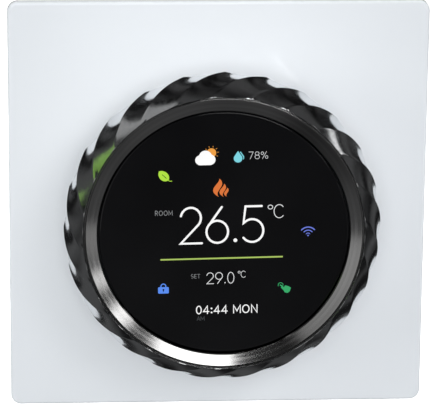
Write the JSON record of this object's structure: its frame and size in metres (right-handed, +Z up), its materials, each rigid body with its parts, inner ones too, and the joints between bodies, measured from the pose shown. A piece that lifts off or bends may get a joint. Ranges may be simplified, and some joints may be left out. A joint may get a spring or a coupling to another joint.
{
  "type": "wall thermostat",
  "caption": "Square wall thermostat with a large fluted dark-chrome dial that turns around a fixed round display and is pressed in to select.",
  "frame": {"origin": "in the wall plane, on the dial's axis", "axes": "+Y into the wall along the dial's axis, +Z up the wall, +X to the right as seen from the room"},
  "size_m": [0.086, 0.0598, 0.086],
  "materials": {
    "white_gloss": "polished",
    "white_matte": "fine spark texture",
    "dark_chrome": "dark chrome, mirror-like, finely brushed along the flutes",
    "brushed_chrome": "turned, circular brushing",
    "black_glass": "polished, tinted black",
    "black_plastic": "fine texture",
    "grey_plastic": "smooth",
    "white_film": "diffuser film",
    "panel_glass": "polished",
    "circuit_board": "green solder mask",
    "steel": "nickel plated",
    "ceramic": "unglazed",
    "blue_plastic": "smooth",
    "green_plastic": "smooth",
    "yellow_plastic": "smooth",
    "sleeve_black": "shrink sleeve",
    "orange_film": "film"
  },
  "bodies": {
    "wall_base": {"base_plate": "white_matte", "power_box": "black_plastic", "power_board": "circuit_board", "relay": "blue_plastic", "power_converter": "sleeve_black", "film_capacitor": "yellow_plastic", "smoothing_capacitor_1": "sleeve_black", "smoothing_capacitor_2": "sleeve_black", "fuse": "ceramic", "terminal_block": "green_plastic", "terminal_screw_1": "steel", "terminal_screw_2": "steel", "terminal_screw_3": "steel", "terminal_screw_4": "steel", "terminal_screw_5": "steel", "header_socket": "black_plastic", "wall_screw_left": "steel", "wall_screw_right": "steel", "box_screw_1": "steel", "box_screw_2": "steel", "box_screw_3": "steel", "box_screw_4": "steel"},
    "front_module": {"faceplate": "white_gloss", "rear_cover": "white_matte", "cover_screw_1": "steel", "cover_screw_2": "steel", "cover_screw_3": "steel", "cover_screw_4": "steel", "main_board": "circuit_board", "pin_header": "black_plastic", "controller_chip": "black_plastic", "radio_module": "steel", "buzzer": "black_plastic", "temperature_sensor": "black_plastic", "clock_battery": "steel", "battery_clip": "steel", "encoder_body": "grey_plastic", "switch_body": "black_plastic", "wave_spring": "steel", "flex_connector": "ceramic"},
    "dial_carriage": {"display_column": "black_plastic", "display_board": "circuit_board", "backlight": "white_film", "lcd_panel": "panel_glass", "glass_lens": "black_glass", "flex_cable": "orange_film"},
    "dial": {"knob_ring": "dark_chrome", "bezel_ring": "brushed_chrome", "gear_ring": "black_plastic"},
    "encoder_wheel": {"encoder_gear": "white_matte"},
    "switch_button": {"switch_plunger": "grey_plastic"}
  },
  "joints": [
    {"name": "front_release", "type": "slide", "parent": "wall_base", "child": "front_module", "axis": [0, -1, 0], "range_m": [0, 0.03]},
    {"name": "dial_press", "type": "slide", "parent": "front_module", "child": "dial_carriage", "axis": [0, 1, 0], "range_m": [0, 0.0008], "stiffness_N_per_m": 3000, "springref_m": -0.001},
    {"name": "dial_turn", "type": "hinge", "parent": "dial_carriage", "child": "dial", "pos_m": [0, -0.02, 0], "axis": [0, 1, 0], "continuous": true},
    {"name": "encoder_turn", "type": "hinge", "parent": "front_module", "child": "encoder_wheel", "pos_m": [0.02376, -0.009, -0.02376], "axis": [0, 1, 0], "continuous": true},
    {"name": "switch_press", "type": "slide", "parent": "front_module", "child": "switch_button", "axis": [0, 1, 0], "range_m": [0, 0.0008]}
  ],
  "couplings": [
    {"joint": "encoder_turn", "follows": "dial_turn", "ratio": -5},
    {"joint": "switch_press", "follows": "dial_press", "ratio": 1}
  ]
}
